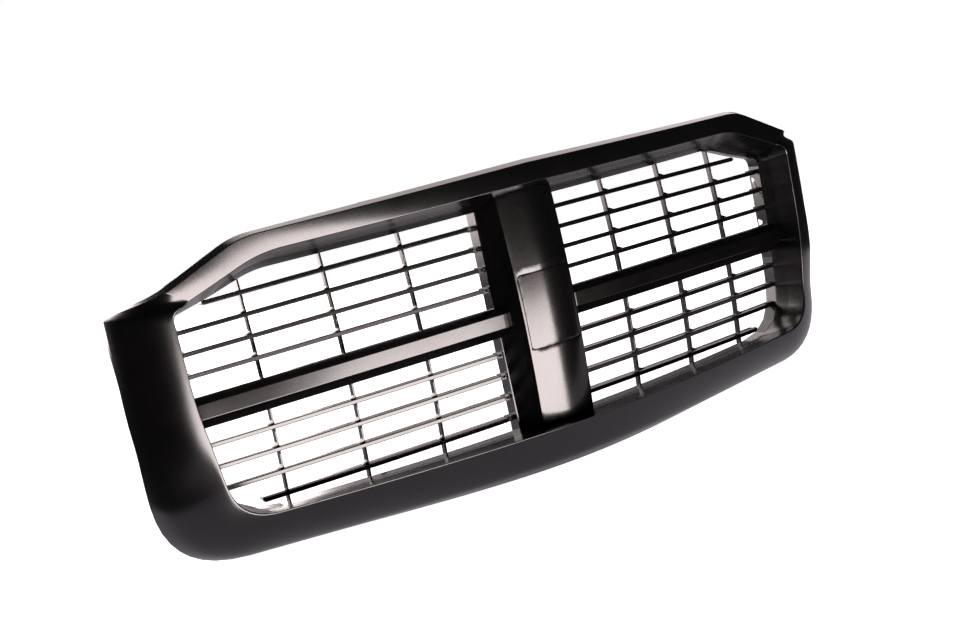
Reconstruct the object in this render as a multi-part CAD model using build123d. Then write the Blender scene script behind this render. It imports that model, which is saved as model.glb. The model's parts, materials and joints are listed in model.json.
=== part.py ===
from build123d import *
from math import acos, asin, cos, degrees, hypot, pi, radians, sin, sqrt, tan
import os

# Front grille: a broad surround, a centre post and two crossbars, four slatted
# inserts between them, and the carrier, brackets and fasteners behind.
#
# Millimetres. X runs to the right seen from the front, Y runs to the back,
# Z is up. The origin is the root of the centre locating pin, on the rear face
# of the carrier. Depths are Y values on the centreline: every piece follows
# the same bow in plan, so its ends lie further back.

# ------------------------------------------------------------- overall form
BOW_RADIUS = 1800.0            # plan curve of the whole front
RAKE = 8.3                     # degrees that rails and slats fall to the back
CROWN_RADIUS = 1185.0          # side-view curve of the slatted inserts
WALL = 3.0                     # wall of the mouldings
REACH = 400.0                  # from the middle to well past every piece, up or back

# ------------------------------------------------------------- surround
OPENING_HALF_WIDTH = 469.0     # at the lip, level with the crossbars
OPENING_TOP = 172.0
OPENING_BOTTOM = -140.0
TOP_BAND = 25.0                # width of the face above, beside and below
SIDE_BAND = 63.0
BOTTOM_BAND = 59.0
SHOULDER_INBOARD = 93.0        # the top edge turns down this far inboard
EAR_DROP = 44.0                # ear tip below the top of the opening
RETURN_CREASE_DEPTH = -35.0    # the inner wall's crease
RETURN_REAR_DEPTH = -10.0      # and its rear edge, in front of the inserts
RETURN_TOP_DROP = 25.0         # the rear edge lies this far inside the lip
RETURN_SIDE_DROP = 10.0
RETURN_BOTTOM_DROP = 8.0       # outside it, along the bottom
FLANGE_DEPTH = 15.0            # outer edge turned back

# Values at the outline's seven key places, from the top centre round to the
# bottom centre: top, shoulder, neck, ear, side, lower corner, bottom.
LIP_DEPTHS = (-70, -64, -65, -70, -70, -67, -80)
EDGE_DEPTHS = (-68, -66.5, -67.5, -12, -9, 6, -42)
FACE_BULGES = (0.3, 0.3, 0.5, 13.0, 14.0, 13.0, 6.0)
FLANGE_RISES = (4.5, 4.5, 4.5, 0.0, -4.0, -4.0, -3.0)

# ------------------------------------------------------------- centre post
POST_HALF_WIDTH_TOP = 42.0
POST_HALF_WIDTH_BOTTOM = 39.5
POST_FACE_DEPTH = -60.0        # crest of the face at mid-height
POST_FACE_FALL = 9.0           # the crest lies this much further back at its ends
POST_CROWN = 9.0               # crest in front of the face's side edges
POST_SIDE_SPREAD = 15.0        # each side wall spreads this much to the back
POST_REAR_DEPTH = -10.0
POST_GAP = 0.6                 # to the surround's inner wall
POST_OVERRUN = 12.0            # drawn this much past its ends, then trimmed

# ------------------------------------------------------------- emblem plate
PLATE_WIDTH = 75.0
PLATE_HEIGHT = 97.0
PLATE_CENTRE_Z = 10.5
PLATE_THICKNESS = 3.0
PLATE_GAP = 0.8
PLATE_CORNER = 4.0
STUD_RADIUS = 2.5
STUD_SPACING = 56.0
STUD_CLEARANCE = 0.25

# ------------------------------------------------------------- crossbars
BAR_FACE_DEPTH = -30.0
BAR_FACE_TOP = 14.0
BAR_FACE_BOTTOM = -5.0
BAR_SHOULDER_DEPTH = -17.0
BAR_TOP = 21.0
BAR_BOTTOM = -18.0
BAR_REAR_DEPTH = -10.0
BAR_GAP = 1.0                  # to the post and to the surround's inner wall

# ------------------------------------------------------------- slatted inserts
SLAT_COUNT = 4
SLAT_CHORD = 16.0
SLAT_THICKNESS = 4.4
SLAT_TILT = 5.0                # degrees, nose up
BAR_TO_SLAT = 24.0             # first slat from the crossbar's edge
UPPER_LAST_GAP = 20.6          # last slat from the window's edge
LOWER_LAST_GAP = 20.0
RIB_COUNT = 3
RIB_FIRST_GAP = 99.4
RIB_LAST_GAP = 92.0
RIB_THICKNESS = 2.2
RIB_CHORD = 9.0
RIB_SETBACK = 3.0              # ribs stand this far behind the slats
TIP_GAP = 45.0                 # the outermost slat of an insert ends free
LOWER_TIP_GAP = 60.0
RIM_WIDTH = 11.0
RIM_THICKNESS = 3.0
INSERT_GAP = 0.5
EAR_RADIUS = 7.0               # screw ear on the rim
COLLAR_REAR_DEPTH = 12.0       # deep edge of each window, which holds the slats
SLAT_DEPTH = -1.0              # middle of the slats
TAB_WIDTH = 8.0                # slotted tab at each slat's inner end
TAB_HEIGHT = 7.0
TAB_SLOT = 4.0

# ------------------------------------------------------------- carrier
CARRIER_FRONT_DEPTH = -6.0
CARRIER_RIM = 20.0
PIN_RADIUS = 5.0
PIN_LENGTH = 16.0
PIN_CHAMFER = 1.5

# ------------------------------------------------------------- fasteners
SCREW_RADIUS = 2.0
SCREW_HEAD_RADIUS = 4.2
SCREW_HEAD_HEIGHT = 2.6
SCREW_LENGTH = 12.0
SCREW_CLEARANCE = 0.3
SEAT_GAP = 0.05                # flat heads and bosses on the bowed faces
BOSS_RADIUS = 5.0
BOSS_OFFSET = 1.7              # a boss stands at least this clear of the wall
BOSS_GAP = 0.3                 # a crossbar's boss to the rim of an insert
BOSS_STATIONS = (2, 5, 22, 26, 37, 40)   # places round the outline that carry a boss

# ------------------------------------------------------------- brackets
SHEET = 2.0
BRACKET_WIDTH = 46.0
UPPER_BRACKET_X = 250.0
LOWER_BRACKET_X = 210.0
BRACKET_REACH = 26.0
BRACKET_BOW_GAP = 0.5          # most that a flat bracket stands off the hollow face
FIXING_RADIUS = 3.5
EAR_BRACKET_Z = 62.0
SEAL_HEIGHT = 8.0
PUSH_NUT_RADIUS = 6.0


# Places that follow from the sizes above.
OPENING_SIDE = OPENING_HALF_WIDTH
POST_TOP = OPENING_TOP - 7.0
POST_BOTTOM = OPENING_BOTTOM - 7.0


# ============================================================= shared geometry
def bow(x, depth=0.0):
    """Y at this X of the arc that lies at depth on the centreline."""
    radius = BOW_RADIUS - depth
    return BOW_RADIUS - sqrt(radius**2 - x**2)


def ease(t):
    return t * t * (3 - 2 * t)


def between(a, b, t):
    return a + (b - a) * t


def blend_corner(before, corner, after, radius, steps):
    """Points that round one corner of an outline, from tangent to tangent."""
    in_x, in_z = before[0] - corner[0], before[1] - corner[1]
    out_x, out_z = after[0] - corner[0], after[1] - corner[1]
    in_len, out_len = hypot(in_x, in_z), hypot(out_x, out_z)
    turn = pi - acos((in_x * out_x + in_z * out_z) / (in_len * out_len))
    reach = min(radius * tan(turn / 2), 0.45 * in_len, 0.45 * out_len)
    points = []
    for i in range(steps + 1):
        t = i / steps
        near, far = reach * (1 - t)**2 / in_len, reach * t**2 / out_len
        points.append((corner[0] + near * in_x + far * out_x,
                       corner[1] + near * in_z + far * out_z))
    return points


def stations(ends, corners, radii, run_steps, corner_steps=4):
    """Points down one half outline. Each is (x, z, key, t): t parts of the
    way from key place to key place + 1."""
    path = [ends[0], *corners, ends[1]]
    result = [(*ends[0], 0, 0.0)]
    for i, corner in enumerate(corners):
        rounded = blend_corner(path[i], corner, path[i + 2], radii[i], corner_steps)
        last_x, last_z = result[-1][:2]
        steps = run_steps[i]
        for step in range(1, steps):
            t = step / steps
            result.append((between(last_x, rounded[0][0], t),
                           between(last_z, rounded[0][1], t), i, t))
        result.extend((x, z, i + 1, 0.0) for x, z in rounded)
    last_x, last_z = result[-1][:2]
    for step in range(1, run_steps[-1] + 1):
        t = step / run_steps[-1]
        result.append((between(last_x, ends[1][0], t),
                       between(last_z, ends[1][1], t), len(corners), t))
    return result


def at_station(values, key, t):
    following = values[min(key + 1, len(values) - 1)]
    return between(values[key], following, ease(t))


LIP_CORNERS = [
    (OPENING_SIDE - 112, OPENING_TOP - 4),
    (OPENING_SIDE - 24, OPENING_TOP - 39),
    (OPENING_SIDE, OPENING_TOP - 50),
    (OPENING_SIDE - 1, 10),
    (OPENING_SIDE - 19, OPENING_BOTTOM + 4),
]
LIP_RADII = (150, 60, 16, 500, 52)
REAR_CORNERS = [
    (OPENING_SIDE - 116, OPENING_TOP - RETURN_TOP_DROP - 2),
    (OPENING_SIDE - 58, OPENING_TOP - RETURN_TOP_DROP - 22),
    (OPENING_SIDE - 7, OPENING_TOP - RETURN_TOP_DROP - 37),
    (OPENING_SIDE - RETURN_SIDE_DROP, 10),
    (OPENING_SIDE - 21, OPENING_BOTTOM - RETURN_BOTTOM_DROP + 2),
]
REAR_RADII = (120, 120, 14, 500, 75)
EDGE_CORNERS = [
    (OPENING_SIDE - SHOULDER_INBOARD, OPENING_TOP + TOP_BAND - 6),
    (OPENING_SIDE - 3, OPENING_TOP - 22),
    (OPENING_SIDE + SIDE_BAND - 2, OPENING_TOP - EAR_DROP),
    (OPENING_SIDE + SIDE_BAND, 0),
    (OPENING_SIDE + SIDE_BAND - 8, OPENING_BOTTOM - BOTTOM_BAND),
]
EDGE_RADII = (110, 110, 5, 700, 110)
RUN_STEPS = (4, 2, 3, 4, 4, 5)


def outward_normals(points):
    """Outward direction at each point of a half outline."""
    normals = [(0.0, 1.0)]
    for before, after in zip(points, points[2:]):
        dx, dz = after[0] - before[0], after[1] - before[1]
        normals.append((-dz / hypot(dx, dz), dx / hypot(dx, dz)))
    return normals + [(0.0, -1.0)]


def outlines():
    """Points of the lip, the outer edge and the inner wall's rear edge that
    face each other, with the rear edge's outward direction."""
    lip = stations([(0, OPENING_TOP), (0, OPENING_BOTTOM)],
                   LIP_CORNERS, LIP_RADII, RUN_STEPS)
    edge = stations([(0, OPENING_TOP + TOP_BAND), (0, OPENING_BOTTOM - BOTTOM_BAND)],
                    EDGE_CORNERS, EDGE_RADII, RUN_STEPS)
    rear = stations([(0, OPENING_TOP - RETURN_TOP_DROP),
                     (0, OPENING_BOTTOM - RETURN_BOTTOM_DROP)],
                    REAR_CORNERS, REAR_RADII, RUN_STEPS)
    return list(zip(lip, edge, rear, outward_normals(rear)))


def moved_out(place, normal, distance):
    """A point of the outline moved away from the middle of the opening."""
    return place[0] + distance * normal[0], place[1] + distance * normal[1]


def point(x, z, depth):
    return Vector(x, bow(x, depth), z)


def face_section(lip, edge, rear_place, normal):
    """Closed wire across the surround's wall at one station."""
    key, t = lip[2], lip[3]
    lip_depth = at_station(LIP_DEPTHS, key, t)
    edge_depth = at_station(EDGE_DEPTHS, key, t)
    bulge = at_station(FACE_BULGES, key, t)
    rise = at_station(FLANGE_RISES, key, t)

    span = hypot(edge[0] - lip[0], edge[1] - lip[1])
    out_x, out_z = (edge[0] - lip[0]) / span, (edge[1] - lip[1]) / span
    if lip[0] == 0:
        out_x = 0.0
    rear = point(rear_place[0], rear_place[1], RETURN_REAR_DEPTH)
    crease = point(0.5 * (lip[0] + rear_place[0]), 0.5 * (lip[1] + rear_place[1]),
                   RETURN_CREASE_DEPTH)
    nose = point(lip[0], lip[1], lip_depth)
    rim = point(edge[0], edge[1], edge_depth)
    flange = point(edge[0] + rise * out_x, edge[1] + rise * out_z, edge_depth + FLANGE_DEPTH)

    across = Vector(out_x, 0, out_z)
    wall_out = Vector(normal[0], 0, normal[1]) * WALL
    chord = rim - nose
    outward = (across * chord.Y - Vector(0, 1, 0) * hypot(chord.X, chord.Z)).normalized()
    near = nose + chord * 0.33 + outward * bulge
    far = nose + chord * 0.74 + outward * bulge * 0.86

    back = Vector(0, WALL, 0)
    side = across * WALL
    skin = [nose, near, far, rim]
    inner = [rim + back - side, far + back - side * 0.5, near + back, nose + back + wall_out]
    return Wire([
        Line(rear, crease),
        Line(crease, nose),
        Spline(*skin),
        Line(rim, flange),
        Line(flange, flange - side),
        Line(flange - side, inner[0]),
        Spline(*inner),
        Line(inner[-1], crease + wall_out),
        Line(crease + wall_out, rear + wall_out),
        Line(rear + wall_out, rear),
    ])


def both_sides(half):
    return half + mirror(half, about=Plane.YZ)


def front_prism(outline, front=-REACH, rear=REACH):
    """A closed front-view outline carried from one depth to another."""
    face = Plane.XZ.offset(-front) * make_face(outline)
    return extrude(face, amount=rear - front, dir=(0, 1, 0))


def bowed_sweep(outline, half_width):
    """A side-view outline of (depth, z) carried from side to side along the bow."""
    section = make_face(Plane.YZ * Polyline(*outline, close=True))
    nearest = max(depth for depth, z in outline)
    angle = degrees(asin(half_width / (BOW_RADIUS - nearest)))
    axis = Axis((0, BOW_RADIUS, 0), (0, 0, 1))
    return revolve(section.rotate(axis, -angle), axis, 2 * angle)


def bowed_slab(front, rear, half_width, low, high):
    """The bowed space between two depths, from side to side."""
    return bowed_sweep([(front, low), (rear, low), (rear, high), (front, high)], half_width)


def raked_sweep(section, depth, height, x_from, x_to):
    """A section swept sideways along the bow, in a plane that falls backwards."""
    rake = radians(RAKE)
    radius = BOW_RADIUS - depth
    centre = (0, depth + radius * cos(rake), height - radius * sin(rake))
    axis = Axis(centre, (0, sin(rake), cos(rake)))
    start = degrees(asin(x_from / radius))
    sweep_angle = degrees(asin(x_to / radius)) - start
    return revolve(section.rotate(axis, start), axis, sweep_angle)


def droop(x):
    """How far a raked rail has fallen at this X."""
    return bow(x) * tan(radians(RAKE))


def cylinder_along(start, direction, radius, length):
    """A round bar from a point, along a direction."""
    return extrude(Plane(start, z_dir=direction) * Circle(radius), amount=length)


def square_to_bow(x, z):
    """The place on the carrier's rear face at (x, z), turned square to the bow.
    There the local Y is the depth."""
    return Pos(x, bow(x), z) * Rot(0, 0, degrees(asin(x / BOW_RADIUS)))


def bow_cylinder(x, z, rear, front, radius):
    """A round bar square to the bow, between two depths."""
    return square_to_bow(x, z) * cylinder_along((0, rear, 0), (0, -1, 0), radius, rear - front)


def screw_hole(x, z):
    """A clearance hole for a screw through everything near the carrier."""
    return bow_cylinder(x, z, COLLAR_REAR_DEPTH, RETURN_REAR_DEPTH - WALL,
                        SCREW_RADIUS + SCREW_CLEARANCE)


def screw_boss(x, z, front_depth):
    """A boss that ends on the carrier's front, and the pilot hole in it."""
    boss = bow_cylinder(x, z, CARRIER_FRONT_DEPTH - SEAT_GAP, front_depth, BOSS_RADIUS)
    pilot = bow_cylinder(x, z, 0, -SCREW_LENGTH - 1, SCREW_RADIUS)
    return boss, pilot


def boss_room(x, z, gap):
    """The space round a boss and the screw head behind it."""
    return bow_cylinder(x, z, COLLAR_REAR_DEPTH, RETURN_CREASE_DEPTH, BOSS_RADIUS + gap)


def joined(pieces):
    """One moulding from pieces that overlap."""
    first, *others = pieces
    return first + others


# ============================================================= surround
def wall_boss_places():
    """Screw bosses outside the surround's inner wall, right half. Each place
    comes with that of the web that roots the boss in the wall."""
    places = []
    all_places = outlines()
    for i in BOSS_STATIONS:
        lip, edge, rear, normal = all_places[i]
        lean = 0.5 * ((lip[0] - rear[0]) * normal[0] + (lip[1] - rear[1]) * normal[1])
        run = RETURN_REAR_DEPTH - RETURN_CREASE_DEPTH
        lean -= run * normal[0] * rear[0] / BOW_RADIUS
        away = max(lean, BOSS_OFFSET) + WALL + BOSS_RADIUS
        boss = moved_out(rear, normal, away)
        foot = moved_out(rear, normal, away - BOSS_RADIUS - 0.5)
        places.append(((on_rear_face(boss[0]), boss[1]), (on_rear_face(foot[0]), foot[1])))
    return places


def on_rear_face(x):
    """X on the carrier's rear face, square to the bow from X on the wall's rear edge."""
    return x * BOW_RADIUS / (BOW_RADIUS - RETURN_REAR_DEPTH)


def surround():
    """The broad face with its inner wall and its turned-back outer edge."""
    sections = [face_section(*places) for places in outlines()]
    pieces = [Part(Solid.make_loft(sections, ruled=True).wrapped)]
    pilots = []
    front = RETURN_CREASE_DEPTH - WALL
    for place, foot in wall_boss_places():
        boss, pilot = screw_boss(*place, front)
        web = bow_cylinder(*foot, RETURN_REAR_DEPTH, front, WALL)
        pieces += [boss, web]
        pilots.append(pilot)
    return both_sides(joined(pieces) - pilots)


# ============================================================= centre post
def post_height_depth(z):
    """Depth of the face's crest at this height."""
    middle = 0.5 * (POST_TOP + POST_BOTTOM)
    half = 0.5 * (POST_TOP - POST_BOTTOM)
    return POST_FACE_DEPTH + POST_FACE_FALL * ((z - middle) / half)**2


def post_half_width(z):
    t = (z - POST_BOTTOM) / (POST_TOP - POST_BOTTOM)
    return between(POST_HALF_WIDTH_BOTTOM, POST_HALF_WIDTH_TOP, t)


def post_section(z, inset):
    """Hat section of the post at one height, drawn in by the wall for its inside."""
    half = post_half_width(z) - inset
    crest = post_height_depth(z) + inset
    edge = crest + POST_CROWN
    foot = half + POST_SIDE_SPREAD
    rear = POST_REAR_DEPTH + max(inset, 0)
    return Wire([
        ThreePointArc((-half, edge, z), (0, crest, z), (half, edge, z)),
        Line((half, edge, z), (foot, rear, z)),
        Line((foot, rear, z), (-foot, rear, z)),
        Line((-foot, rear, z), (-half, edge, z)),
    ])


def plate_outline(grow):
    """The emblem plate's outline, seen from the front."""
    return Pos(0, PLATE_CENTRE_Z) * RectangleRounded(
        PLATE_WIDTH + 2 * grow, PLATE_HEIGHT + 2 * grow, PLATE_CORNER + grow)


def post_body(inset, end_inset):
    heights = [POST_BOTTOM + end_inset, PLATE_CENTRE_Z - PLATE_HEIGHT / 2,
               PLATE_CENTRE_Z, PLATE_CENTRE_Z + PLATE_HEIGHT / 2, POST_TOP - end_inset]
    return Part(Solid.make_loft([post_section(z, inset) for z in heights]).wrapped)


def stud_places():
    return [PLATE_CENTRE_Z - STUD_SPACING / 2, PLATE_CENTRE_Z + STUD_SPACING / 2]


def plate_zone(grow, ceiling, floor):
    """The plate's outline, between two depths below the post's face."""
    face = Plane.XZ.offset(REACH) * plate_outline(grow)
    block = extrude(face, amount=2 * REACH, dir=(0, 1, 0))
    return block & post_skin(ceiling, floor)


def post_skin(shallow, deep):
    """The layer of the post between two depths below its face."""
    return post_body(shallow, 0) - post_body(deep, 0)


def post_screw_places():
    return [OPENING_TOP - RETURN_TOP_DROP - 10, OPENING_BOTTOM + 16]


def opening_space(gap):
    """The space inside the surround's inner wall, near the centreline."""
    top, low = OPENING_TOP - gap, OPENING_BOTTOM + gap
    crease_top, crease_low = top - RETURN_TOP_DROP / 2, low - RETURN_BOTTOM_DROP / 2
    rear_top, rear_low = top - RETURN_TOP_DROP, low - RETURN_BOTTOM_DROP
    return bowed_sweep([
        (LIP_DEPTHS[0], top), (RETURN_CREASE_DEPTH, crease_top), (RETURN_REAR_DEPTH, rear_top),
        (0, rear_top), (0, rear_low),
        (RETURN_REAR_DEPTH, rear_low), (RETURN_CREASE_DEPTH, crease_low), (LIP_DEPTHS[-1], low),
    ], 2 * POST_HALF_WIDTH_TOP)


def centre_post():
    """The upright over the middle of the opening, hollow from the back."""
    seat = plate_zone(PLATE_GAP + WALL, PLATE_THICKNESS, PLATE_THICKNESS + WALL)
    body = post_body(0, -POST_OVERRUN) - post_body(WALL, -2 * POST_OVERRUN) + seat
    body -= plate_zone(PLATE_GAP, 0, PLATE_THICKNESS)
    for z in stud_places():
        body -= cylinder_along((0, -REACH, z), (0, 1, 0), STUD_RADIUS + STUD_CLEARANCE, REACH)
    body = body & opening_space(POST_GAP)
    for z in post_screw_places():
        boss, pilot = screw_boss(0, z, post_height_depth(z) + WALL / 2)
        body = body + boss - pilot
    return body


def emblem_plate():
    """Blank plate let into the post, with two studs behind it."""
    plate = plate_zone(0, 0, PLATE_THICKNESS - 0.2)
    for z in stud_places():
        front = post_height_depth(z) + PLATE_THICKNESS - 1
        stud = cylinder_along((0, front, z), (0, 1, 0), STUD_RADIUS, 14)
        plate += stud
    return plate


# ============================================================= crossbars
def bar_section():
    """Outer outline of the crossbar's hat section, in side view."""
    return [
        (BAR_REAR_DEPTH, BAR_BOTTOM), (BAR_SHOULDER_DEPTH, BAR_BOTTOM),
        (BAR_FACE_DEPTH, BAR_FACE_BOTTOM), (BAR_FACE_DEPTH, BAR_FACE_TOP),
        (BAR_SHOULDER_DEPTH, BAR_TOP), (BAR_REAR_DEPTH, BAR_TOP),
    ]


def crossbar_right():
    """Rail from the post to the surround's side wall, open at the back."""
    outer = make_face(Plane.YZ * Polyline(*bar_section(), close=True))
    inner = make_face(Plane.YZ * Polyline(
        (BAR_REAR_DEPTH, BAR_BOTTOM + WALL), (BAR_SHOULDER_DEPTH, BAR_BOTTOM + WALL),
        (BAR_FACE_DEPTH + WALL, BAR_FACE_BOTTOM + 1), (BAR_FACE_DEPTH + WALL, BAR_FACE_TOP - 1),
        (BAR_SHOULDER_DEPTH, BAR_TOP - WALL), (BAR_REAR_DEPTH, BAR_TOP - WALL), close=True))
    end = OPENING_SIDE - RETURN_SIDE_DROP - BAR_GAP
    rail = raked_sweep(outer, 0, 0, 30, end) - raked_sweep(inner, 0, 0, 30, end)
    for x in bar_screw_places():
        boss, pilot = screw_boss(x, bar_centre() - droop(x), BAR_FACE_DEPTH + WALL / 2)
        rail = rail + boss - pilot
    inside = [p for p in rear_edge(-BAR_GAP) if abs(p[1]) < 3 * BAR_TOP]
    room = front_prism(Polyline((0, inside[0][1]), *inside, (0, inside[-1][1]), close=True))
    return (rail & room) - post_clearance()


def bar_centre():
    return 0.5 * (BAR_TOP + BAR_BOTTOM)


def bar_screw_places():
    return [110, OPENING_SIDE - 60]


def post_clearance():
    return post_body(-BAR_GAP, -10)


# ============================================================= slatted inserts
def inner_x():
    """Inner edge of the windows, just outside the post's foot."""
    return POST_HALF_WIDTH_TOP + POST_SIDE_SPREAD + 2 * INSERT_GAP


def rear_edge(grow):
    """Rear edge of the surround's inner wall, from the top centre round to the bottom."""
    return [moved_out(rear, normal, grow) for lip, edge, rear, normal in outlines()]


def window_outline(upper, grow):
    """One quarter window, seen from the front. Grow widens it all round."""
    inner = inner_x() - grow
    points = [p for p in rear_edge(grow) if p[0] > inner + 2 * RIM_WIDTH]
    if upper:
        level = BAR_TOP - WALL - grow
        arch = [p for p in points if p[1] > level + RIM_WIDTH]
        foot = [(x, level - droop(x)) for x in spaced(arch[-1][0], inner, RIB_COUNT + 1)]
        return Polyline((inner, arch[0][1]), *arch, *foot, close=True)
    level = BAR_BOTTOM + WALL + grow
    arch = [p for p in points if p[1] < level - 2 * RIM_WIDTH]
    head = [(x, level - droop(x)) for x in spaced(inner, arch[0][0], RIB_COUNT + 1)]
    return Polyline(*head, *arch, (inner, arch[-1][1]), close=True)


def spaced(first, last, parts):
    """Evenly spaced values from first to last."""
    return [between(first, last, i / parts) for i in range(parts + 1)]


def slat_section(depth, height):
    """Slim aerofoil with a round nose, tilted nose up, in side view."""
    half = SLAT_THICKNESS / 2
    nose = depth - SLAT_CHORD / 2
    tail = depth + SLAT_CHORD / 2
    outline = Wire([
        Spline((tail, height - 0.5), (depth, height - half * 0.9), (nose + half, height - half),
               (nose, height), (nose + half, height + half), (depth, height + half * 0.9),
               (tail, height + 0.5)),
        Line((tail, height + 0.5), (tail, height - 0.5)),
    ])
    pivot = Axis((depth, height, 0), (0, 0, 1))
    return Plane.YZ * make_face(outline.rotate(pivot, -SLAT_TILT))


def crown(z):
    """How far back the slats stand at this height."""
    return z * z / (2 * CROWN_RADIUS)


def slat_heights(upper):
    if upper:
        first = BAR_TOP + BAR_TO_SLAT
        last = OPENING_TOP - RETURN_TOP_DROP - UPPER_LAST_GAP
    else:
        first = BAR_BOTTOM - BAR_TO_SLAT
        last = OPENING_BOTTOM - RETURN_BOTTOM_DROP + LOWER_LAST_GAP
    return [between(first, last, i / (SLAT_COUNT - 1)) for i in range(SLAT_COUNT)]


def rib_places():
    first = inner_x() + RIB_FIRST_GAP
    last = OPENING_SIDE - RETURN_SIDE_DROP - RIB_LAST_GAP
    return [between(first, last, i / (RIB_COUNT - 1)) for i in range(RIB_COUNT)]


def slat(height, tip):
    depth = SLAT_DEPTH + crown(height)
    section = slat_section(depth, height)
    return raked_sweep(section, depth, height, 1, tip)


def rib(x, low, high):
    """Thin upright that follows the slats' crown, behind their noses."""
    depth = bow(x, SLAT_DEPTH) + RIB_SETBACK
    front = [(depth - RIB_CHORD / 2 + crown(z), z) for z in (low, 0.5 * (low + high), high)]
    rear = [(y + RIB_CHORD, z) for y, z in reversed(front)]
    outline = Wire([
        ThreePointArc(*front), Line(front[-1], rear[0]),
        ThreePointArc(*rear), Line(rear[-1], front[0]),
    ])
    face = Plane.YZ.offset(x - RIB_THICKNESS / 2) * make_face(outline)
    return extrude(face, amount=RIB_THICKNESS, dir=(1, 0, 0))


def end_tab(height):
    """Slotted tab at a slat's inner end."""
    x = inner_x() + TAB_WIDTH / 2
    depth = SLAT_DEPTH + crown(height)
    place = Pos(x, depth, height - droop(x))
    tab = place * Box(TAB_WIDTH, SLAT_CHORD - 4, TAB_HEIGHT)
    slot = place * Box(TAB_SLOT, SLAT_CHORD, TAB_SLOT)
    return tab, slot


def end_lug(height):
    """Step on top of a slat where it meets the side wall."""
    x = OPENING_SIDE - RETURN_SIDE_DROP - 5
    depth = SLAT_DEPTH + crown(height)
    place = Pos(x, bow(x, depth), height - droop(x))
    return place * Pos(0, 0, 0.3 * SLAT_THICKNESS) * Box(12, 0.4 * SLAT_CHORD, 1.3 * SLAT_THICKNESS)


def insert_right(upper):
    """One insert: rim, slats, ribs and end tabs in one moulding."""
    heights = slat_heights(upper)
    side = OPENING_SIDE - RETURN_SIDE_DROP
    window = front_prism(window_outline(upper, 1.0))
    reach = front_prism(window_outline(upper, 2.0))
    ears = [cylinder_along((x, -REACH, z), (0, 1, 0), EAR_RADIUS, 2 * REACH)
            for x, z in insert_screw_places(upper)]
    rim_zone = joined([front_prism(window_outline(upper, RIM_WIDTH)), *ears]) - window
    collar_zone = front_prism(window_outline(upper, 1.0 + WALL)) - window
    rim_front = RETURN_REAR_DEPTH + INSERT_GAP
    rim = rim_zone & bowed_slab(rim_front, rim_front + RIM_THICKNESS, side + 60, -REACH, REACH)
    collar = collar_zone & bowed_slab(rim_front, COLLAR_REAR_DEPTH, side + 60, -REACH, REACH)
    pieces = [rim + collar]
    slots = []
    for i, height in enumerate(heights):
        is_free = i == SLAT_COUNT - 1
        tip_gap = TIP_GAP if upper else LOWER_TIP_GAP
        tip = side - tip_gap if is_free else side + WALL
        tab, slot = end_tab(height)
        rail = (slat(height, tip) & reach) + tab
        if not is_free:
            rail += end_lug(height) & reach
        pieces.append(rail)
        slots.append(slot)
    ends = (-10, OPENING_TOP) if upper else (OPENING_BOTTOM - 20, 10)
    for x in rib_places():
        pieces.append(rib(x, *ends) & reach)
    whole = joined(pieces)
    for slot in slots:
        whole -= slot
    for boss, foot in wall_boss_places():
        whole -= boss_room(*boss, INSERT_GAP)
    for x in bar_screw_places():
        whole -= boss_room(x, bar_centre() - droop(x), BOSS_GAP)
    for x, z in insert_screw_places(upper):
        whole -= screw_hole(x, z)
    return whole


def insert_screw_places(upper):
    """Screws through the ears on the rim's top or bottom."""
    middle = RIM_WIDTH - 2
    edge = OPENING_TOP - RETURN_TOP_DROP if upper else OPENING_BOTTOM - RETURN_BOTTOM_DROP
    outward = middle if upper else -middle
    return [(140, edge + outward), (OPENING_SIDE - 170, edge + outward)]


# ============================================================= carrier
def carrier_face():
    side = OPENING_SIDE + CARRIER_RIM + 2
    top = OPENING_TOP + CARRIER_RIM - 6
    low = OPENING_BOTTOM - RETURN_BOTTOM_DROP - CARRIER_RIM - 8
    corners = [(-1, low), (-1, top), (OPENING_SIDE - 112, top),
               (OPENING_SIDE - 20, top - 34), (side, top - 62), (side, 0), (side - 16, low)]
    return FilletPolyline(*corners, radius=[0.5, 0.5, 60, 40, 30, 300, 60], close=True)


def carrier():
    """Ribbed frame behind the inserts that ties every piece together."""
    body = both_sides(front_prism(carrier_face())) & bowed_slab(
        CARRIER_FRONT_DEPTH, 0, OPENING_SIDE + 60, -REACH, REACH)
    cuts = [front_prism(window_outline(upper, 2.0 + WALL)) for upper in (True, False)]
    cuts += [screw_hole(x, z) for x, z in carrier_holes()]
    for cut in cuts:
        body = body - cut - mirror(cut, about=Plane.YZ)
    root = CARRIER_FRONT_DEPTH + 2
    pin = cylinder_along((0, root, 0), (0, 1, 0), PIN_RADIUS, PIN_LENGTH - root)
    return body + chamfer(pin.faces().sort_by(Axis.Y)[-1].edges(), PIN_CHAMFER)


def carrier_holes():
    """Every screw hole in the right half of the carrier."""
    places = [boss for boss, foot in wall_boss_places()]
    places += insert_screw_places(True) + insert_screw_places(False)
    places += [(x, bar_centre() - droop(x)) for x in bar_screw_places()]
    places += [(0, z) for z in post_screw_places()]
    places += bracket_screw_places()
    return places


# ============================================================= fasteners
def screw(x, z, seat=0.0):
    """Pan-head screw driven forwards, with its head on a face at this depth."""
    head = cylinder_along((0, 0, 0), (0, 1, 0), SCREW_HEAD_RADIUS, SCREW_HEAD_HEIGHT)
    head = fillet(head.faces().sort_by(Axis.Y)[-1].edges(), SCREW_HEAD_HEIGHT * 0.4)
    shank = cylinder_along((0, 0, 0), (0, -1, 0), SCREW_RADIUS, SCREW_LENGTH)
    slot = Box(SCREW_HEAD_RADIUS, SCREW_HEAD_HEIGHT, SCREW_RADIUS * 0.4)
    recess = Pos(0, SCREW_HEAD_HEIGHT, 0) * (slot + Rot(0, 90, 0) * slot)
    return square_to_bow(x, z) * Pos(0, seat + SEAT_GAP, 0) * (head + shank - recess)


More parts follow.
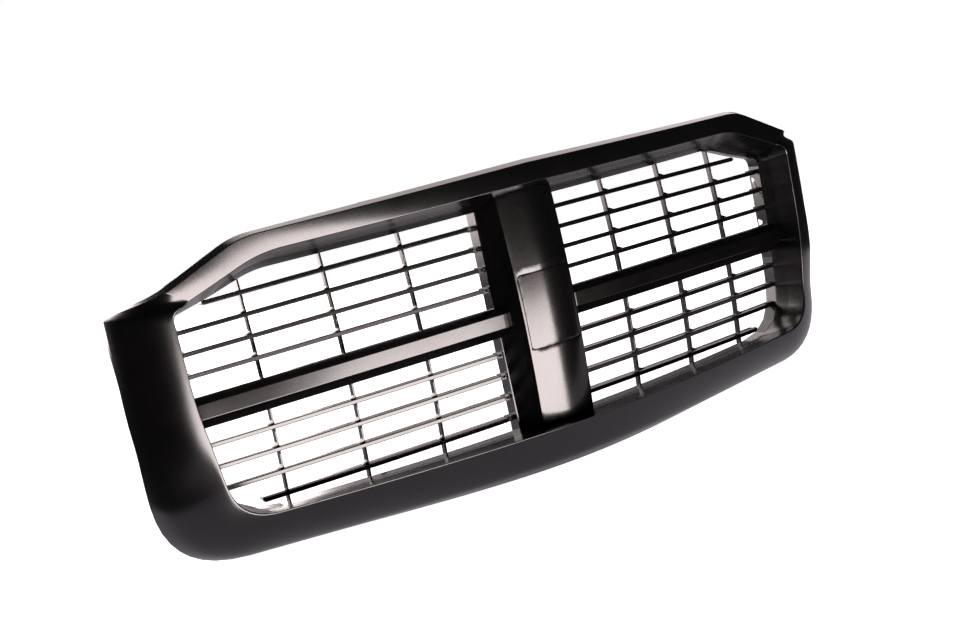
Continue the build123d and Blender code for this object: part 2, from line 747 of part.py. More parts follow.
def screws(places, seat=0.0):
    """Separate screws at these places on the right, and their mirror images."""
    group = []
    for x, z in places:
        one = screw(x, z, seat)
        group.append(one)
        if x > 0:
            group.append(mirror(one, about=Plane.YZ))
    return group


def push_nuts():
    """Pressed-on rings that hold the emblem plate's studs."""
    group = []
    for z in stud_places():
        seat = post_height_depth(z) + PLATE_THICKNESS + WALL + 0.4
        ring = cylinder_along((0, seat, z), (0, 1, 0), PUSH_NUT_RADIUS, 1.2)
        group.append(ring - cylinder_along((0, seat - 1, z), (0, 1, 0), STUD_RADIUS, 4))
    return group


# ============================================================= brackets
def on_carrier(x, z, width, piece):
    """Sets a flat piece against the carrier's hollow rear face, on its two sides."""
    stand_off = width**2 / (8 * BOW_RADIUS) + SEAT_GAP
    return square_to_bow(x, z) * Pos(0, stand_off, 0) * piece


def bracket_screw_pair(x, z):
    offset = BRACKET_WIDTH / 2 - 9
    return [(x - offset, z), (x + offset, z)]


def bracket_screw_places():
    upper = bracket_screw_pair(UPPER_BRACKET_X, upper_bracket_z() - 12)
    lower = bracket_screw_pair(LOWER_BRACKET_X, lower_bracket_z() + 2)
    ear = [(ear_screw_x(), EAR_BRACKET_Z - 11), (ear_screw_x(), EAR_BRACKET_Z + 11)]
    return upper + lower + ear


def drilled(piece, places):
    return piece - [screw_hole(x, z) for x, z in places]


def upper_bracket_z():
    return OPENING_TOP + CARRIER_RIM - 6


def lower_bracket_z():
    return OPENING_BOTTOM - RETURN_BOTTOM_DROP - CARRIER_RIM + 2


def upper_bracket():
    """Steel angle: an upright leg on the carrier, a level leg with the fixing hole."""
    upright = Pos(0, SHEET / 2, -10) * Box(BRACKET_WIDTH, SHEET, 20)
    level = Pos(0, BRACKET_REACH / 2, -SHEET / 2) * Box(BRACKET_WIDTH, BRACKET_REACH, SHEET)
    angle = on_carrier(UPPER_BRACKET_X, upper_bracket_z(), BRACKET_WIDTH, upright + level)
    hole = cylinder_along((UPPER_BRACKET_X, upper_hole_y(), upper_bracket_z() - 20),
                          (0, 0, 1), FIXING_RADIUS, 40)
    return drilled(angle - hole, bracket_screw_places())


def upper_hole_y():
    return bow(UPPER_BRACKET_X) + BRACKET_REACH * 0.6


def lower_bracket():
    """Flat steel tab that hangs below the carrier, with its fixing hole."""
    tab = Pos(0, SHEET / 2, -9) * Box(BRACKET_WIDTH, SHEET, 32)
    tab = on_carrier(LOWER_BRACKET_X, lower_bracket_z(), BRACKET_WIDTH, tab)
    hole = cylinder_along((LOWER_BRACKET_X, 0, lower_bracket_z() - 15),
                          (0, 1, 0), FIXING_RADIUS, 60)
    return drilled(tab - hole, bracket_screw_places())


def ear_bracket():
    """Flat steel tab that reaches from the carrier's side into the ear."""
    tab = Pos(16, SHEET / 2, 0) * Box(44, SHEET, 36)
    tab = on_carrier(ear_screw_x(), EAR_BRACKET_Z, 2 * 38, tab)
    hole = cylinder_along((ear_hole_x(), 0, EAR_BRACKET_Z), (0, 1, 0), FIXING_RADIUS, 120)
    return drilled(tab - hole, bracket_screw_places())


def ear_screw_x():
    return OPENING_SIDE + 12


def ear_hole_x():
    return OPENING_SIDE + 36


def top_seal():
    """Rubber strip along the carrier's top edge, between the brackets."""
    low = upper_bracket_z()
    reach = UPPER_BRACKET_X - BRACKET_WIDTH
    strip = bowed_slab(CARRIER_FRONT_DEPTH, 0, reach, low, low + SEAL_HEIGHT)
    return strip


# ============================================================= the whole grille
def write(name, pieces):
    """One STEP file for a node: one solid, or a group of separate ones."""
    pieces = pieces if isinstance(pieces, list) else [pieces]
    solids = [solid for piece in pieces for solid in piece.solids()]
    shape = solids[0] if len(solids) == 1 else Compound(children=solids)
    export_step(shape, "parts/" + name + ".step")
    print(name, len(solids))


def write_pair(name, right):
    write(name + "_right", right)
    write(name + "_left", mirror(right, about=Plane.YZ))


def build():
    os.makedirs("parts", exist_ok=True)
    write("surround", surround())
    write("centre_post", centre_post())
    write("emblem_plate", emblem_plate())
    write("emblem_push_nuts", push_nuts())
    write("carrier", carrier())
    write("top_seal", top_seal())
    write_pair("crossbar", crossbar_right())
    write_pair("insert_upper", insert_right(True))
    write_pair("insert_lower", insert_right(False))
    write_pair("upper_bracket", upper_bracket())
    write_pair("lower_bracket", lower_bracket())
    write_pair("ear_bracket", ear_bracket())
    write("surround_screws", screws([boss for boss, foot in wall_boss_places()]))
    write("insert_screws", screws(insert_screw_places(True) + insert_screw_places(False)))
    write("crossbar_screws", screws([(x, bar_centre() - droop(x)) for x in bar_screw_places()]))
    write("post_screws", screws([(0, z) for z in post_screw_places()]))
    write("bracket_screws", screws(bracket_screw_places(), SHEET + BRACKET_BOW_GAP))


if __name__ == "__main__":
    build()
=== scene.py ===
# %% [markdown]
# # A front grille in black moulded plastic
# The grille is a deep surround bowed like the nose of a vehicle, a centre post,
# two crossbars, four slatted inserts, and a carrier with brackets behind them.
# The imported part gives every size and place. This lesson adds the looks: smooth
# skins over the large mouldings, finishes for every piece, a studio and a camera.

# %% Load the frame
import bpy
import bmesh
import json
from math import hypot, pi, radians, sqrt, tan
from mathutils import Matrix, Vector


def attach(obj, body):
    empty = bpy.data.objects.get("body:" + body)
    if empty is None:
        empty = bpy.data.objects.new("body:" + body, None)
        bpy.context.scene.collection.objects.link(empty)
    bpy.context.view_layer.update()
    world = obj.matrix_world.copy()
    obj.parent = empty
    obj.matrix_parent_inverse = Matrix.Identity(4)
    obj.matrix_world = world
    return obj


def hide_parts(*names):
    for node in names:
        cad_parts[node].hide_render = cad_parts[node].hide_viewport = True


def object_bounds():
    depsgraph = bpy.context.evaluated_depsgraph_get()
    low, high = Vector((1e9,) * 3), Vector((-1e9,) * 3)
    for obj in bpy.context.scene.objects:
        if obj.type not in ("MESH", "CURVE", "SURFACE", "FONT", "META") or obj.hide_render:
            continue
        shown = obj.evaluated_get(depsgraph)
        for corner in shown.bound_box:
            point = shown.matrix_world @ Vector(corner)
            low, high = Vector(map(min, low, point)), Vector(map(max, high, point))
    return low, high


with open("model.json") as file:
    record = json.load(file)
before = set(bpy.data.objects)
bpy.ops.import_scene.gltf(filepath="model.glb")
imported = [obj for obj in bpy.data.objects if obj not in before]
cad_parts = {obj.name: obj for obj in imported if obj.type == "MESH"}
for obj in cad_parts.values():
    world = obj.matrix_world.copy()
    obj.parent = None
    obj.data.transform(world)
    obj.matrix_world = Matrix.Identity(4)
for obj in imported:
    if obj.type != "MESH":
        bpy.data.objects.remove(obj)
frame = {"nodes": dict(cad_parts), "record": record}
cad_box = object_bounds()
nodes = frame["nodes"]
print("nodes", len(nodes), "box", cad_box)

# %% [markdown]
# ## Working in millimetres along the bow
# The real mould was drawn in millimetres, and every piece follows one arc seen
# from above. A point is easier to give as (x, z, depth), where depth counts back
# from the front along the centreline. One helper turns that into metres.

# %% Millimetres and the bow
MM = 0.001
BOW_RADIUS = 1800.0


def bow(x, depth=0.0):
    return BOW_RADIUS - sqrt((BOW_RADIUS - depth) ** 2 - x * x)


def at(x, z, depth):
    return Vector((x, bow(x, depth), z)) * MM


def mix(a, b, t):
    return a + (b - a) * t


def ease(t):
    return t * t * (3 - 2 * t)


print("the ear tip lies", round(bow(530)), "mm behind the middle")

# %% [markdown]
# ## Colours and node trees
# Hex colours are what a paint chart gives, but the shader wants linear light, so
# one function converts them. Another adds one node with its settings and links.


# %% Colour and node helpers
def colour(hex_value):
    """Linear RGBA from an sRGB hex value."""
    channels = [int(hex_value[i:i + 2], 16) / 255 for i in (1, 3, 5)]
    return [c / 12.92 if c <= 0.04045 else ((c + 0.055) / 1.055) ** 2.4 for c in channels] + [1]


def node(tree, kind, settings=None, **inputs):
    """Adds one node. An input is given by name, or as _ and its number."""
    made = tree.nodes.new("ShaderNode" + kind)
    for name, value in (settings or {}).items():
        setattr(made, name, value)
    for name, value in inputs.items():
        by_number = name[1:].isdigit()
        socket = made.inputs[int(name[1:]) if by_number else name.replace("_", " ")]
        if isinstance(value, bpy.types.NodeSocket):
            tree.links.new(value, socket)
        else:
            socket.default_value = value
    return made


def new_material(name):
    """An empty material with its shader joined to the output."""
    material = bpy.data.materials.new(name)
    material.use_nodes = True
    tree = material.node_tree
    tree.nodes.clear()
    shader = node(tree, "BsdfPrincipled")
    node(tree, "OutputMaterial", Surface=shader.outputs[0])
    return material, tree, shader


# %% [markdown]
# ## Moulded ABS
# The surround, post and crossbars are injection-moulded ABS in black. The tool
# was finely polished, so the skin is satin with a soft sheen. Close up it shows
# slight waves from shrinkage, faint handling haze and a little dust. The base
# colour is a warm near-black, and the roughness wanders by a few hundredths.


# %% Moulded plastic
def moulded_plastic(name, base, haze, rough, rough_spread, wave_mm, wave_height, grain_mm, grain_height):
    """Satin black plastic: waves and haze from noise, grain from a finer noise."""
    material, tree, shader = new_material(name)
    place = node(tree, "NewGeometry").outputs["Position"]
    wave = node(tree, "TexNoise", Vector=place, Scale=1 / (wave_mm * MM), Detail=2.0)
    grain = node(tree, "TexNoise", Vector=place, Scale=1 / (grain_mm * MM), Detail=3.0, Roughness=0.6)
    haze_map = node(tree, "TexNoise", Vector=place, Scale=14.0, Detail=4.0, Roughness=0.62)
    haze_mask = node(tree, "MapRange", _0=haze_map.outputs[0], _1=0.42, _2=0.72, _3=0.0, _4=1.0)
    tint = node(tree, "Mix", {"data_type": "RGBA"}, _0=haze_mask.outputs[0],
                _6=colour(base), _7=colour(haze))
    spread = node(tree, "MapRange", _0=haze_map.outputs[0], _1=0.3, _2=0.7,
                  _3=rough - rough_spread, _4=rough + rough_spread)
    fine_rough = node(tree, "MapRange", _0=grain.outputs[0], _1=0.3, _2=0.7, _3=-0.03, _4=0.03)
    roughness = node(tree, "Math", {"operation": "ADD"}, _0=spread.outputs[0], _1=fine_rough.outputs[0])
    swell = node(tree, "Bump", Height=wave.outputs[0], Strength=0.35, Distance=wave_height * MM)
    texture = node(tree, "Bump", Height=grain.outputs[0], Strength=0.5,
                   Distance=grain_height * MM, Normal=swell.outputs[0])
    tree.links.new(tint.outputs[2], shader.inputs["Base Color"])
    tree.links.new(roughness.outputs[0], shader.inputs["Roughness"])
    tree.links.new(texture.outputs[0], shader.inputs["Normal"])
    shader.inputs["IOR"].default_value = 1.53
    return material


moulded_abs = moulded_plastic("moulded ABS", "#020202", "#040303", 0.2, 0.015, 60, 0.25, 1.2, 0.012)
lattice_abs = moulded_plastic("moulded ABS lattice", "#020202", "#040404", 0.2, 0.015, 40, 0.2, 1.0, 0.012)
carrier_plastic = moulded_plastic("glass-filled polypropylene", "#1b1a1a", "#232221",
                                  0.5, 0.05, 50, 0.6, 1.4, 0.12)
print("plastics", moulded_abs.name, lattice_abs.name, carrier_plastic.name)

# %% [markdown]
# ## Coated steel, zinc plating and foam rubber
# The brackets are pressed steel dipped in a black coating, which is semi-matt and
# a little uneven. The screws are zinc plated: a dull grey metal with a spangle.
# The seal is cellular rubber, quite rough, with pores under a millimetre across.

# %% Metals and rubber
coated_steel, tree, shader = new_material("e-coated steel")
place = node(tree, "NewGeometry").outputs["Position"]
coat = node(tree, "TexNoise", Vector=place, Scale=1 / (3 * MM), Detail=3.0)
rough = node(tree, "MapRange", _0=coat.outputs[0], _1=0.3, _2=0.7, _3=0.32, _4=0.46)
bump = node(tree, "Bump", Height=coat.outputs[0], Strength=0.4, Distance=0.05 * MM)
tree.links.new(rough.outputs[0], shader.inputs["Roughness"])
tree.links.new(bump.outputs[0], shader.inputs["Normal"])
shader.inputs["Base Color"].default_value = colour("#161617")

zinc_plate, tree, shader = new_material("zinc-plated steel")
place = node(tree, "NewGeometry").outputs["Position"]
spangle = node(tree, "TexVoronoi", Vector=place, Scale=1 / (1.5 * MM))
rough = node(tree, "MapRange", _0=spangle.outputs["Distance"], _1=0.0, _2=0.8, _3=0.28, _4=0.42)
tint = node(tree, "Mix", {"data_type": "RGBA"}, _0=spangle.outputs["Distance"],
            _6=colour("#b4b7b9"), _7=colour("#9a9da1"))
tree.links.new(rough.outputs[0], shader.inputs["Roughness"])
tree.links.new(tint.outputs[2], shader.inputs["Base Color"])
shader.inputs["Metallic"].default_value = 1.0

foam_rubber, tree, shader = new_material("cellular rubber")
place = node(tree, "NewGeometry").outputs["Position"]
pores = node(tree, "TexVoronoi", Vector=place, Scale=1 / (0.8 * MM))
bump = node(tree, "Bump", Height=pores.outputs["Distance"], Strength=0.6, Distance=0.2 * MM)
rough = node(tree, "MapRange", _0=pores.outputs["Distance"], _1=0.0, _2=0.7, _3=0.95, _4=0.75)
tree.links.new(bump.outputs[0], shader.inputs["Normal"])
tree.links.new(rough.outputs[0], shader.inputs["Roughness"])
shader.inputs["Base Color"].default_value = colour("#121212")
print("metals and rubber", coated_steel.name, zinc_plate.name, foam_rubber.name)

# %% [markdown]
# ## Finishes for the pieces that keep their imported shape
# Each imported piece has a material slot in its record. Walking the record keeps the
# look and the record in step, so no piece is left with a plain default.

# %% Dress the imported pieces
FINISH = {
    "moulded_face": moulded_abs,
    "moulded_lattice": lattice_abs,
    "moulded_carrier": carrier_plastic,
    "coated_steel": coated_steel,
    "zinc_steel": zinc_plate,
    "seal_rubber": foam_rubber,
}
for entry in frame["record"]["subparts"]:
    piece = nodes[entry["node"]]
    piece.data.materials.clear()
    piece.data.materials.append(FINISH[entry["material_slot"]])

# %% [markdown]
# ## The surround's outlines
# On the real grille three lines run right round: the sharp inner lip, the outer
# edge, and the rear edge of the inner wall. Each is drawn here as a half outline of
# a few corners with generous radii, sampled so that the three lines share stations.
# A grid stretched over them gives long smooth faces, which a boolean could not.

# %% Outline stations
TOP, LOW, SIDE = 172.0, -140.0, 469.0
LIP = [(0, TOP), (SIDE - 112, TOP - 4), (SIDE - 24, TOP - 39), (SIDE, TOP - 50),
       (SIDE - 1, 10), (SIDE - 19, LOW + 4), (0, LOW)]
LIP_ROUND = (150, 60, 16, 500, 52)
EDGE = [(0, TOP + 25), (SIDE - 93, TOP + 19), (SIDE - 3, TOP - 22), (SIDE + 61, TOP - 44),
        (SIDE + 63, 0), (SIDE + 55, LOW - 59), (0, LOW - 59)]
EDGE_ROUND = (110, 110, 5, 700, 110)
REAR = [(0, TOP - 25), (SIDE - 116, TOP - 27), (SIDE - 58, TOP - 47), (SIDE - 7, TOP - 62),
        (SIDE - 10, 10), (SIDE - 21, LOW - 6), (0, LOW - 8)]
REAR_ROUND = (120, 120, 14, 500, 75)
RUN_STEPS = (14, 5, 5, 10, 10, 22)
CORNER_STEPS = 9


def corner_curve(before, corner, after, radius, steps):
    """Points of a soft corner, from tangent to tangent, in two or three dimensions."""
    before, corner, after = Vector(before), Vector(corner), Vector(after)
    inward, onward = before - corner, after - corner
    turn = pi - inward.angle(onward)
    reach = min(radius * tan(turn / 2), 0.45 * inward.length, 0.45 * onward.length)
    near, far = inward.normalized() * reach, onward.normalized() * reach
    return [corner + near * (1 - t) ** 2 + far * t * t for t in (i / steps for i in range(steps + 1))]


def stations(path, radii):
    """Stations down one half outline, each with its key place and its way past it."""
    result = [(Vector(path[0]), 0, 0.0)]
    for i, corner in enumerate(path[1:-1]):
        curve = corner_curve(path[i], corner, path[i + 2], radii[i], CORNER_STEPS)
        last = result[-1][0]
        for step in range(1, RUN_STEPS[i]):
            t = step / RUN_STEPS[i]
            result.append((last.lerp(curve[0], t), i, t))
        result += [(place, i + 1, 0.0) for place in curve]
    last = result[-1][0]
    for step in range(1, RUN_STEPS[-1] + 1):
        t = step / RUN_STEPS[-1]
        result.append((last.lerp(Vector(path[-1]), t), len(path) - 2, t))
    return result


def at_key(values, key, t):
    return mix(values[key], values[min(key + 1, len(values) - 1)], ease(t))


lip_line = stations(LIP, LIP_ROUND)
edge_line = stations(EDGE, EDGE_ROUND)
rear_line = stations(REAR, REAR_ROUND)
print("stations", len(lip_line), len(edge_line), len(rear_line))

# %% [markdown]
# ## The surround's section
# Cut across, the moulding is a hook: an inner wall with a crease in it, a fine lip,
# a crowned face, and an outer edge turned back. Round the bottom the face breaks
# into a chin. Real mould edges carry a small radius, and that radius is what
# catches a thin line of light, so each corner is rounded with a few points.

# %% Section of the surround
LIP_DEPTH = (-70, -64.0, -65, -70, -70, -67, -80)
EDGE_DEPTH = (-66, -66.0, -67.5, -12, -9, 6, -42)
CROWN = (0.3, 0.3, 0.5, 13.0, 14.0, 11.0, 0.0)
CHIN = (0.0, 0.0, 0.0, 0.0, 0.0, 3.0, 8.0)
FLANGE_RISE = (4.5, 4.5, 4.5, 0.0, -4.0, -4.0, -3.0)
WALL = 3.0
CREASE_DEPTH, REAR_DEPTH, FLANGE_DEPTH = -35.0, -10.0, 15.0
FACE_POINTS = 16
CHIN_PLACE = 0.72
CHIN_SOFTNESS, CHIN_CUT = 0.12, 0.09
CROWN_FULLNESS = 4.5


def chin_swell(t):
    """Height of the chin's ridge part of the way across the face, with a soft top."""
    slope = t / CHIN_PLACE if t < CHIN_PLACE else (1 - t) / (1 - CHIN_PLACE)
    near = max(0.0, 1 - abs(t - CHIN_PLACE) / CHIN_SOFTNESS)
    return slope - CHIN_CUT * near * near


def soft_path(path, radii, steps=4):
    """A path of 3-D points with its inner corners rounded."""
    points = [path[0]]
    for i, radius in enumerate(radii):
        if radius:
            points += corner_curve(path[i], path[i + 1], path[i + 2], radius, steps)
        else:
            points.append(path[i + 1])
    return points + [path[-1]]


def surround_section(i):
    """Closed ring of points across the surround at station i, in millimetres."""
    lip, key, t = lip_line[i]
    edge, rear = edge_line[i][0], rear_line[i][0]
    before, after = rear_line[max(i - 1, 0)][0], rear_line[min(i + 1, len(rear_line) - 1)][0]
    normal = Vector((before.y - after.y, after.x - before.x)).normalized()
    across = (edge - lip).normalized()
    if i in (0, len(lip_line) - 1):
        normal.x = across.x = 0.0
    deep = lambda place, depth: at(place.x, place.y, depth) / MM
    nose = deep(lip, at_key(LIP_DEPTH, key, t))
    rim = deep(edge, at_key(EDGE_DEPTH, key, t))
    crease = deep((lip + rear) / 2, CREASE_DEPTH)
    back = deep(rear, REAR_DEPTH)
    flange_depth = at_key(EDGE_DEPTH, key, t) + FLANGE_DEPTH
    flange = deep(edge + across * at_key(FLANGE_RISE, key, t), flange_depth)
    out = Vector((normal.x, 0, normal.y)) * WALL
    side = Vector((across.x, 0, across.y)) * WALL
    chord = rim - nose
    flat = Vector((across.x, 0, across.y))
    swell = (flat * chord.y - Vector((0, 1, 0)) * hypot(chord.x, chord.z)).normalized()
    face = []
    for step in range(1, FACE_POINTS):
        u = step / FACE_POINTS
        crown = at_key(CROWN, key, t) * CROWN_FULLNESS * u * (1 - u)
        height = crown + at_key(CHIN, key, t) * chin_swell(u)
        face.append(nose + chord * u + swell * height)
    depthwise = Vector((0, WALL, 0))
    inner_face = [place + depthwise - side * (k / len(face)) for k, place in enumerate(face)][2:-1:3]
    path = [crease + out, back + out, back, crease, nose, *face, rim, flange, flange - side,
            rim + depthwise - side, *reversed(inner_face), nose + depthwise + out]
    radii = [0.8, 0.8, 4.0, 2.2] + [0] * len(face) + [3.0, 0.8, 0.8, 0, *[0] * len(inner_face)]
    return soft_path(path, radii)


print("points in a section", len(surround_section(20)))

# %% [markdown]
# ## Stretching the skin
# The rings are joined into a grid for the right half, and a Mirror modifier makes
# the left. Weighted normals keep the broad faces calm beside the tight corners.


# %% Surround mesh
def grid_mesh(name, families, capped=False):
    """A mesh of tubes. Each tube is a list of rings in millimetres with equally many points."""
    bm = bmesh.new()
    for rings in families:
        rows = [[bm.verts.new(Vector(p) * MM) for p in ring] for ring in rings]
        count = len(rows[0])
        for row, following in zip(rows, rows[1:]):
            for k in range(count):
                after = (k + 1) % count
                bm.faces.new((row[k], row[after], following[after], following[k]))
        if capped:
            bm.faces.new(rows[0])
            bm.faces.new(rows[-1])
    bmesh.ops.recalc_face_normals(bm, faces=bm.faces)
    for face in bm.faces:
        face.smooth = True
    mesh = bpy.data.meshes.new(name)
    bm.to_mesh(mesh)
    bm.free()
    piece = bpy.data.objects.new(name, mesh)
    bpy.context.scene.collection.objects.link(piece)
    return piece


def add_modifier(piece, kind, **settings):
    made = piece.modifiers.new(kind.lower(), kind)
    for name, value in settings.items():
        setattr(made, name, value)
    return made


def place_piece(piece, material, slot, *stands_for):
    """Gives a piece its finish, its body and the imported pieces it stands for."""
    piece.data.materials.append(material)
    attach(piece, "root")
    if stands_for:
        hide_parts(*stands_for)
    print(piece.name, "vertices", len(piece.data.vertices))


surround = grid_mesh("surround_skin", [[surround_section(i) for i in range(len(lip_line))]])
add_modifier(surround, "MIRROR", use_mirror_merge=True, use_clip=True, merge_threshold=0.00005)
add_modifier(surround, "WEIGHTED_NORMAL", keep_sharp=True)
place_piece(surround, moulded_abs, "moulded_face", "surround")

# %% [markdown]
# ## Crossbars
# Each crossbar is a hat-shaped rail that follows the bow and falls to the back by
# 8.3 degrees. Its face leans back a little towards the outer end and rounds off
# just before the post. Its ends stop 1 mm short of the post and of the side wall,
# and its corners have the 2 mm radius that draws a thin light line along it.

# %% Crossbar skins
RAKE = radians(8.3)
BAR_POST_END, BAR_WALL_END = (57.0, 49.7), (458.0, 463.0)
BAR_LEAN = radians(4.5)
BAR_LEAN_FROM, BAR_LEAN_RUN = 230.0, 180.0
BAR_ROUND_FROM, BAR_ROUND_RUN, BAR_ROUND_DEPTH = 49.0, 4.0, 2.5
BAR_OUTLINE = [(-10, 21), (-17, 21), (-30, 14), (-30, -5), (-17, -18), (-10, -18)]
BAR_CORNERS = (2.5, 2.2, 2.2, 2.5)
BAR_INSIDE = [(-10, -15), (-18, -15), (-27, -4), (-27, 13), (-18, 18), (-10, 18)]
BAR_REAR, BAR_DEEP, BAR_MIDDLE = -10.0, 20.0, 5.0
BAR_STEPS = 44


def droop(x):
    """How far a raked bar has fallen at x."""
    return bow(x) * tan(RAKE)


def on_side(place, side):
    """A place in metres on the right as millimetres on the right (1) or left (-1)."""
    return Vector((place.x * side, place.y, place.z)) / MM


def bar_ring(t, side):
    """Closed ring across the rail, part t of the way from the post to the wall."""
    outside = soft_path([Vector(p) for p in BAR_OUTLINE], BAR_CORNERS)
    ring = []
    for depth, z in outside + [Vector(p) for p in BAR_INSIDE]:
        forward = (BAR_REAR - depth) / BAR_DEEP
        x = mix(mix(*BAR_POST_END, forward), mix(*BAR_WALL_END, forward), t)
        lean = BAR_LEAN * ease(max(0.0, min(1.0, (x - BAR_LEAN_FROM) / BAR_LEAN_RUN)))
        near_post = max(0.0, 1 - (x - BAR_ROUND_FROM) / BAR_ROUND_RUN)
        round_off = BAR_ROUND_DEPTH * near_post ** 2 * forward
        leaned = depth + round_off + (z - BAR_MIDDLE) * tan(lean) * forward
        ring.append(on_side(at(x, z - droop(x), leaned), side))
    return ring


for side, name in ((-1, "left"), (1, "right")):
    spread = [(i / BAR_STEPS) ** 1.3 for i in range(BAR_STEPS + 1)]
    rail = grid_mesh("crossbar_skin_" + name, [[bar_ring(t, side) for t in spread]])
    add_modifier(rail, "WEIGHTED_NORMAL", keep_sharp=True)
    place_piece(rail, moulded_abs, "moulded_face", "crossbar_" + name)

# %% [markdown]
# ## Slats and ribs
# Seen close up, each slat is a bar with a flat front about 5 mm tall, soft corners
# and a back that tapers. Its front leans with the crown of the whole grille, so the
# upper slats look up and the lower ones look down into the light. Ribs stand
# behind them with a rounded front, and a small gusset sits on each crossing.

# %% Slat and rib skins
CROWN_RADIUS = 1185.0
SLAT_HEIGHTS = {1: (45.0, 72.13, 99.27, 126.4), -1: (-42.0, -70.67, -99.33, -128.0)}
SLAT_TIPS = {1: 414.0, -1: 399.0}
RIB_PLACES = (157.4, 262.2, 367.0)
SLAT_PROFILE = [(6.5, -1.6), (6.5, 1.6), (-6.8, 3.1), (-8.1, 2.9), (-8.9, 2.0),
                (-8.9, -2.0), (-8.1, -2.9), (-6.8, -3.1)]
SLAT_DEPTH, SLAT_STEPS = -0.6, 30
SLAT_START = 67.0
TIP_ROUND, TIP_CHORD = 1.5, 0.9
TIP_END, TIP_SHRINK = 1.2, (0.35, 0.8)
WALL_X = 458.5
WALL_LEAN_FROM, WALL_LEAN = 110.0, 0.1
RIB_PROFILE = [(-1.4, 4.5), (-1.4, -3.4), (-0.8, -4.4), (0.8, -4.4), (1.4, -3.4), (1.4, 4.5)]
RIB_DEPTH, RIB_SETBACK, RIB_STEPS = -1.0, 3.0, 24
OUTER_RIB_X = 360.0
UPPER_RIB_ENDS, LOWER_RIB_ENDS = (22.0, 146.0), (-147.0, -20.0)
GUSSET_RISE = ((9.0, 0.3), (1.0, 4.2))
GUSSET_HALF, GUSSET_FOOT = 3.0, 2.6


def crown_back(z):
    """How far the crown puts the slats and ribs back at this height."""
    return z * z / (2 * CROWN_RADIUS)


def slat_ring(x, height, side, shrink=1.0):
    """Closed ring across a slat at x, leaning with the crown."""
    lean = height / CROWN_RADIUS
    ring = []
    for depth, z in SLAT_PROFILE:
        z = z * shrink
        if shrink < 1.0:
            depth = depth * mix(TIP_CHORD, 1.0, shrink)
        level = height + z - depth * lean - droop(x)
        ring.append(on_side(at(x, level, SLAT_DEPTH + crown_back(height) + depth + z * lean), side))
    return ring


def wall_x(height):
    """Where a slat ends in the rim, along the side wall."""
    return WALL_X - max(0.0, (abs(height) - WALL_LEAN_FROM) * WALL_LEAN)


def skin_of_bars(name, families):
    """One mesh of several closed bars, with soft edges."""
    piece = grid_mesh(name, families, capped=True)
    add_modifier(piece, "BEVEL", width=0.5 * MM, segments=2, limit_method="ANGLE",
                 angle_limit=radians(28), harden_normals=True)
    return piece


def slat_rings(height, tip, side, free):
    """A slat from the post outwards, with a rounded tip where it ends free."""
    ends = [(tip + TIP_END, TIP_SHRINK[0]), (tip, TIP_SHRINK[1])] if free else [(tip, 1.0)]
    places = [mix(SLAT_START, tip - TIP_ROUND, i / SLAT_STEPS) for i in range(SLAT_STEPS + 1)]
    rings = [slat_ring(x, height, side) for x in places]
    return rings + [slat_ring(x, height, side, shrink) for x, shrink in reversed(ends)]


def rib_rings(x, low, high, side):
    """Rib from below to above, with a rounded front edge."""
    rings = []
    for i in range(RIB_STEPS + 1):
        z = mix(low, high, i / RIB_STEPS)
        back = bow(x, RIB_DEPTH) + RIB_SETBACK + crown_back(z)
        rings.append([Vector((side * (x + dx), back + dy, z)) for dx, dy in RIB_PROFILE])
    return rings


def gusset_rings(x, height, side):
    """Small sloping web on top of a slat, on the outer side of a rib."""
    level = height + GUSSET_FOOT - droop(x)
    back = bow(x, RIB_DEPTH) + crown_back(height)
    return [[Vector((side * (x + reach), back + dy, level + dz))
             for dy, dz in ((-GUSSET_HALF, 0), (GUSSET_HALF, 0), (GUSSET_HALF, rise), (-GUSSET_HALF, rise))]
            for reach, rise in GUSSET_RISE]


for side, hand in ((-1, "left"), (1, "right")):
    for level, word in ((1, "upper"), (-1, "lower")):
        families = []
        for i, height in enumerate(SLAT_HEIGHTS[level]):
            free = i == 3
            families.append(slat_rings(height, SLAT_TIPS[level] if free else wall_x(height), side, free))
            crossings = [x for x in RIB_PLACES if not (free and x > OUTER_RIB_X)]
            families += [gusset_rings(x, height, side) for x in crossings]
        low, high = UPPER_RIB_ENDS if level > 0 else LOWER_RIB_ENDS
        for x in RIB_PLACES:
            drop = droop(x)
            reach = 21.0 if x > OUTER_RIB_X else 2.0
            ends = (low - drop - 3, high - reach) if level > 0 else (low + reach * 0.15, high - drop + 1)
            families.append(rib_rings(x, *ends, side))
        bars = skin_of_bars("slats_%s_%s" % (word, hand), families)
        place_piece(bars, lattice_abs, "moulded_lattice")

# %% [markdown]
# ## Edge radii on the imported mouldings
# A moulded edge is never a knife edge. The post, plate and inserts keep their packed
# shape, and a narrow bevel after a weld gives every corner the half-millimetre
# radius of a real tool, so it catches light.

# %% Rounded edges
EDGE_RADIUS = {"centre_post": 0.9, "emblem_plate": 0.8, "carrier": 0.6}
BEVELLED_SLOTS = ("moulded_face", "moulded_lattice", "moulded_carrier", "coated_steel")
REDRAWN = ("surround", "crossbar_left", "crossbar_right")
for entry in frame["record"]["subparts"]:
    name, slot = entry["node"], entry["material_slot"]
    if slot not in BEVELLED_SLOTS or name in REDRAWN:
        continue
    add_modifier(nodes[name], "WELD", merge_threshold=0.00002)
    add_modifier(nodes[name], "BEVEL", width=EDGE_RADIUS.get(name, 0.35) * MM, segments=3,
                 limit_method="ANGLE", angle_limit=radians(32), harden_normals=True,
                 use_clamp_overlap=True)
print("edges rounded")

# %% [markdown]
# ## Floor, light and camera
# The grille stands on its lower edge in a white studio. The floor and the world are
# white to the camera and almost dark to reflections. One wide, low panel in front
# draws the highlights, a panel under the grille lights its underside softly,
# and two panels behind it light the top and the back.

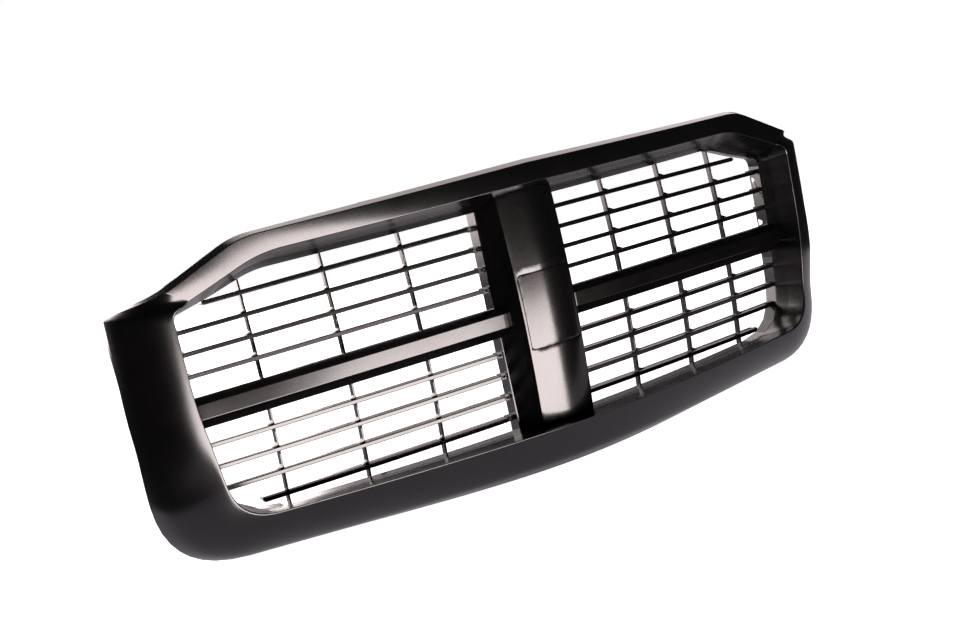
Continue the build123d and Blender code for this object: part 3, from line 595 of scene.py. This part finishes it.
# %% Studio
lowest = cad_box[0][2]
bm = bmesh.new()
bmesh.ops.create_circle(bm, cap_ends=True, segments=96, radius=6.0,
                        matrix=Matrix.Translation((0, 0, lowest)))
mesh = bpy.data.meshes.new("studio_floor")
bm.to_mesh(mesh)
bm.free()
floor = bpy.data.objects.new("studio_floor", mesh)
bpy.context.scene.collection.objects.link(floor)
paper, tree, shader = new_material("seamless paper")
place = node(tree, "NewGeometry").outputs["Position"]
fibre = node(tree, "TexNoise", Vector=place, Scale=60.0, Detail=4.0)
tint = node(tree, "Mix", {"data_type": "RGBA"}, _0=fibre.outputs[0],
            _6=colour("#f6f6f6"), _7=colour("#fcfcfc"))
tree.links.new(tint.outputs[2], shader.inputs["Base Color"])
shader.inputs["Roughness"].default_value = 0.9
shader.inputs["Emission Color"].default_value = (1, 1, 1, 1)
shader.inputs["Emission Strength"].default_value = 1.0
floor.data.materials.append(paper)
floor.visible_glossy = False
floor.visible_shadow = False

world = bpy.data.worlds.new("white studio")
world.use_nodes = True
tree = world.node_tree
seen = node(tree, "LightPath").outputs["Is Camera Ray"]
strength = node(tree, "MapRange", _0=seen, _1=0.0, _2=1.0, _3=0.02, _4=1.0)
tree.nodes["Background"].inputs[0].default_value = (1, 1, 1, 1)
tree.links.new(strength.outputs[0], tree.nodes["Background"].inputs[1])
bpy.context.scene.world = world
bpy.context.scene.view_settings.view_transform = "Standard"


def soft_panel(name, place, target, width, height, radiance, tint):
    """A rectangular light at place, facing target. Metres, and W/m2/sr of brightness."""
    light = bpy.data.lights.new(name, "AREA")
    light.shape = "RECTANGLE"
    light.size = width
    light.size_y = height
    light.energy = radiance * pi * width * height
    light.color = tint
    lamp = bpy.data.objects.new(name, light)
    lamp.location = place
    lamp.rotation_euler = (Vector(target) - Vector(place)).to_track_quat("-Z", "Y").to_euler()
    lamp.visible_camera = False
    bpy.context.scene.collection.objects.link(lamp)
    return lamp


WARM = (1.0, 0.89, 0.875)
COOL = (0.97, 0.9, 1.0)
soft_panel("front_window", (-0.35, -2.23, -0.82), (0, 0, 0), 3.1, 1.06, 19, WARM)
soft_panel("table_bounce", (0.25, 0.42, -0.198), (0.25, 0.42, 1), 1.9, 1.35, 0.5, COOL)
soft_panel("back_panel", (0.9, 1.6, 1.2), (0, 0, 0), 2.4, 1.6, 1.8, WARM)
soft_panel("rear_fill", (-0.5, 2.3, 0.5), (0, 0, 0), 2.2, 1.4, 6, WARM)

camera = bpy.data.objects.new("camera", bpy.data.cameras.new("camera"))
camera.location = (-0.9163, -1.5931, 0.3055)
camera.rotation_euler = [radians(angle) for angle in (80.456, 12.007, -29.809)]
camera.data.lens = 52.93
camera.data.sensor_width = 36
bpy.context.scene.collection.objects.link(camera)
bpy.context.scene.camera = camera
